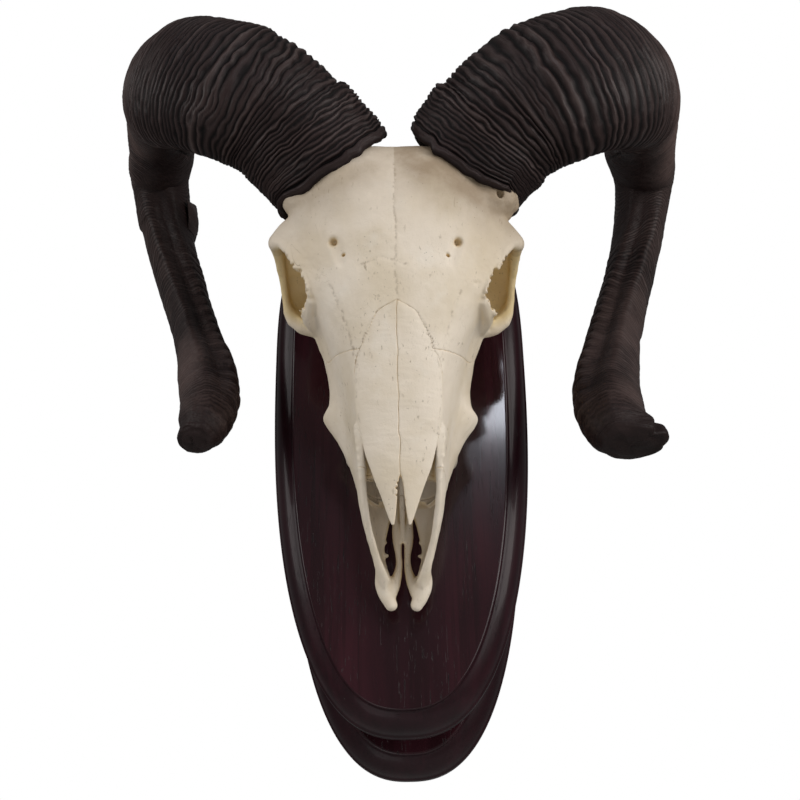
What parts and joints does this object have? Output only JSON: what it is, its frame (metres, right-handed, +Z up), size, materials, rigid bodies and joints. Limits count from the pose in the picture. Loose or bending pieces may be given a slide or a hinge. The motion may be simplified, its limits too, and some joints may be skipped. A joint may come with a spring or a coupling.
{
  "type": "mounted ram skull",
  "caption": "Ram skull with curled, ringed dark horns, mounted on a two-tier oval dark wood wall plaque.",
  "frame": {"origin": "on the wall, at the back face of the plaque's rear board, in the row where the plaque is widest", "axes": "+X to the viewer's right, +Z up, +Y into the wall; the skull looks out along -Y"},
  "size_m": [0.3493, 0.2161, 0.407],
  "materials": {
    "dark_wood": "satin varnish",
    "bone": "dry cream bone",
    "horn": "dark ridged horn, low gloss",
    "steel": "plain"
  },
  "bodies": {
    "root": {"plaque_back": "dark_wood", "plaque_spacer": "dark_wood", "plaque_front": "dark_wood", "horn_left": "horn", "horn_right": "horn", "cranium": "bone", "maxilla_left": "bone", "maxilla_right": "bone", "nasal_left": "bone", "nasal_right": "bone", "premaxilla_left": "bone", "premaxilla_right": "bone", "mount_bolt": "steel"}
  },
  "joints": []
}
